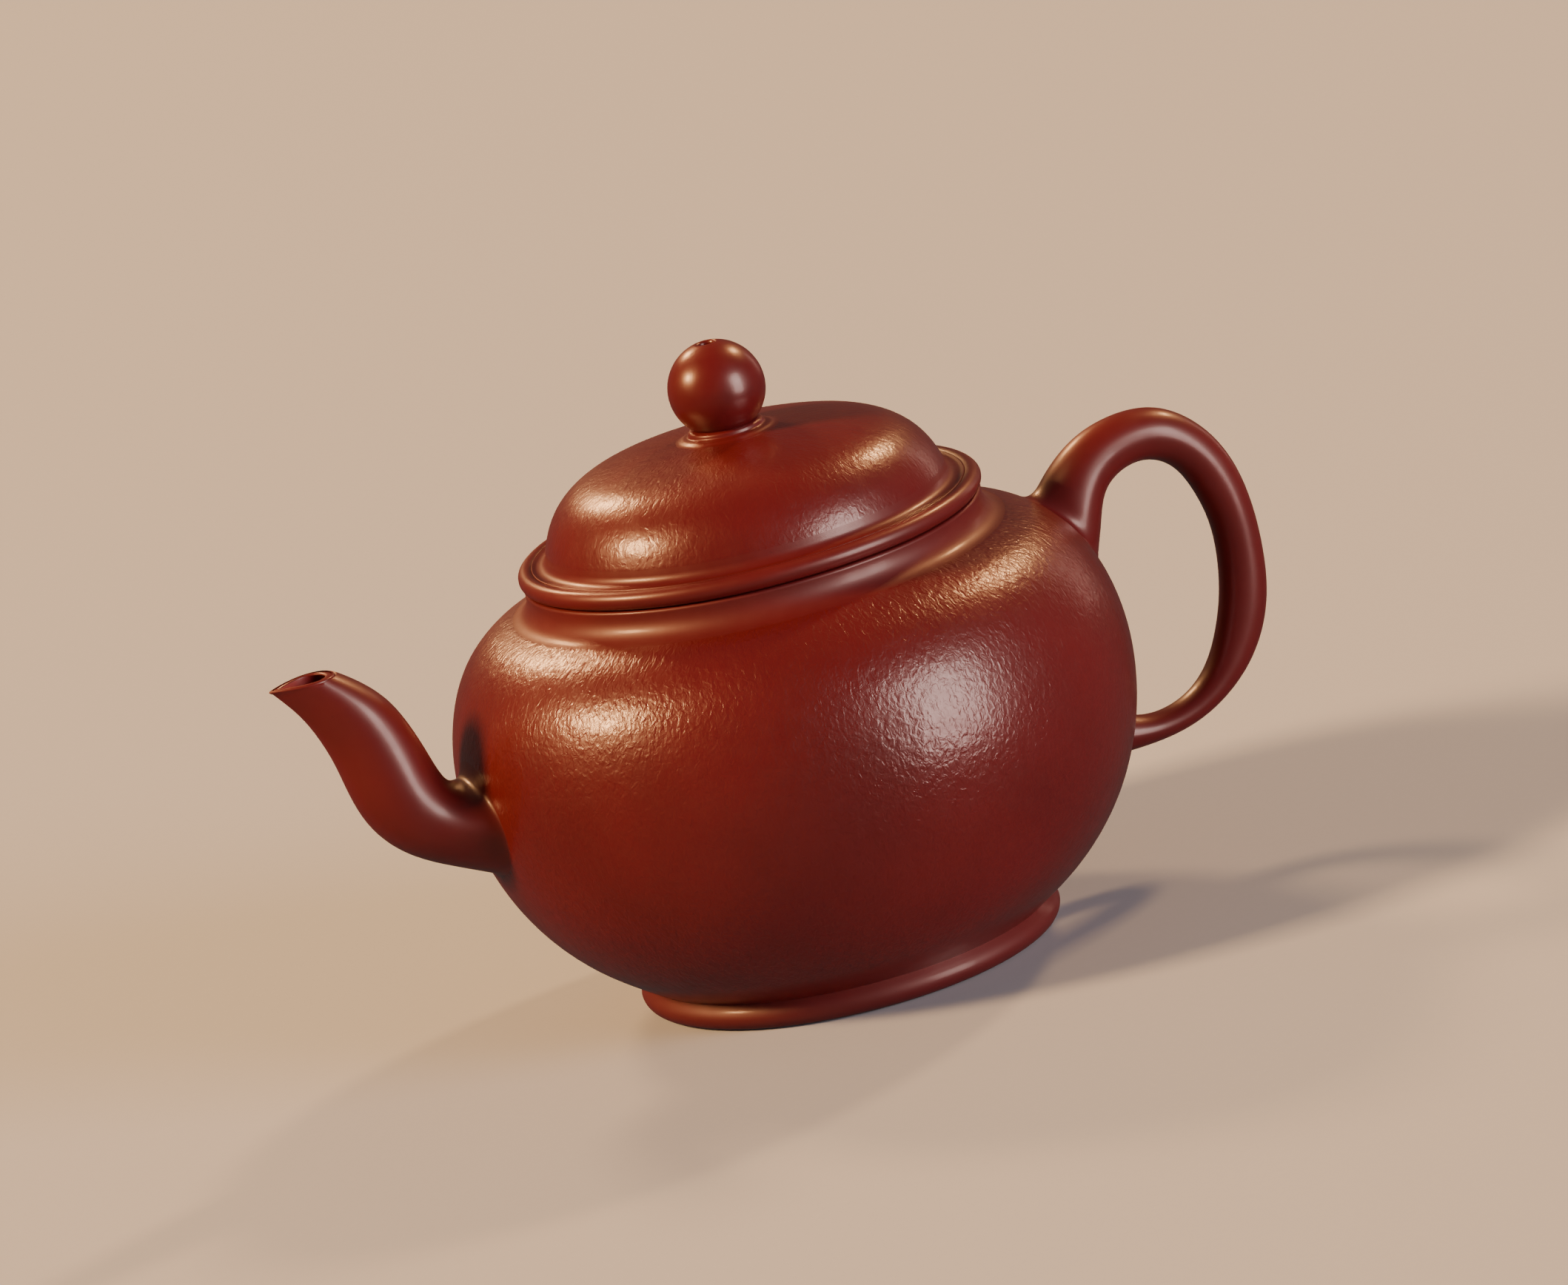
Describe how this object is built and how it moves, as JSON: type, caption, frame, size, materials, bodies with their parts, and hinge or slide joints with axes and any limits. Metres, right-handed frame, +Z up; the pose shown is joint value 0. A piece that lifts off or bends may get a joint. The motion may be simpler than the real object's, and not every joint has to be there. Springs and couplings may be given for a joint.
{
  "type": "teapot",
  "caption": "Small round unglazed red clay teapot with an S-shaped spout, an ear handle, and a domed lift-off lid with a pierced ball knob and a flange that drops into the mouth.",
  "frame": {"origin": "on the turning axis of the pot, in the plane the foot ring stands on", "axes": "+Z up the turning axis through the knob; the spout points along -X and the handle along +X"},
  "size_m": [0.1241, 0.0824, 0.078],
  "materials": {
    "body_wall_clay": "burnished satin",
    "shoulder_plate_clay": "burnished satin",
    "neck_ring_clay": "burnished satin",
    "base_plate_clay": "burnished satin",
    "foot_ring_clay": "burnished satin",
    "spout_clay": "burnished satin",
    "ball_strainer_clay": "burnished satin",
    "handle_clay": "burnished satin",
    "lid_plate_clay": "burnished satin",
    "lid_rim_clay": "burnished satin",
    "lid_flange_clay": "burnished satin",
    "knob_collar_clay": "burnished satin",
    "knob_clay": "burnished satin"
  },
  "bodies": {
    "pot": {"body_wall": "body_wall_clay", "shoulder_plate": "shoulder_plate_clay", "neck_ring": "neck_ring_clay", "base_plate": "base_plate_clay", "foot_ring": "foot_ring_clay", "spout": "spout_clay", "ball_strainer": "ball_strainer_clay", "handle": "handle_clay"},
    "lid": {"lid_plate": "lid_plate_clay", "lid_rim": "lid_rim_clay", "lid_flange": "lid_flange_clay", "knob_collar": "knob_collar_clay", "knob": "knob_clay"}
  },
  "joints": [
    {"name": "lid_lift", "type": "slide", "parent": "pot", "child": "lid", "axis": [0, 0, 1], "range_m": [0, 0.04]}
  ]
}
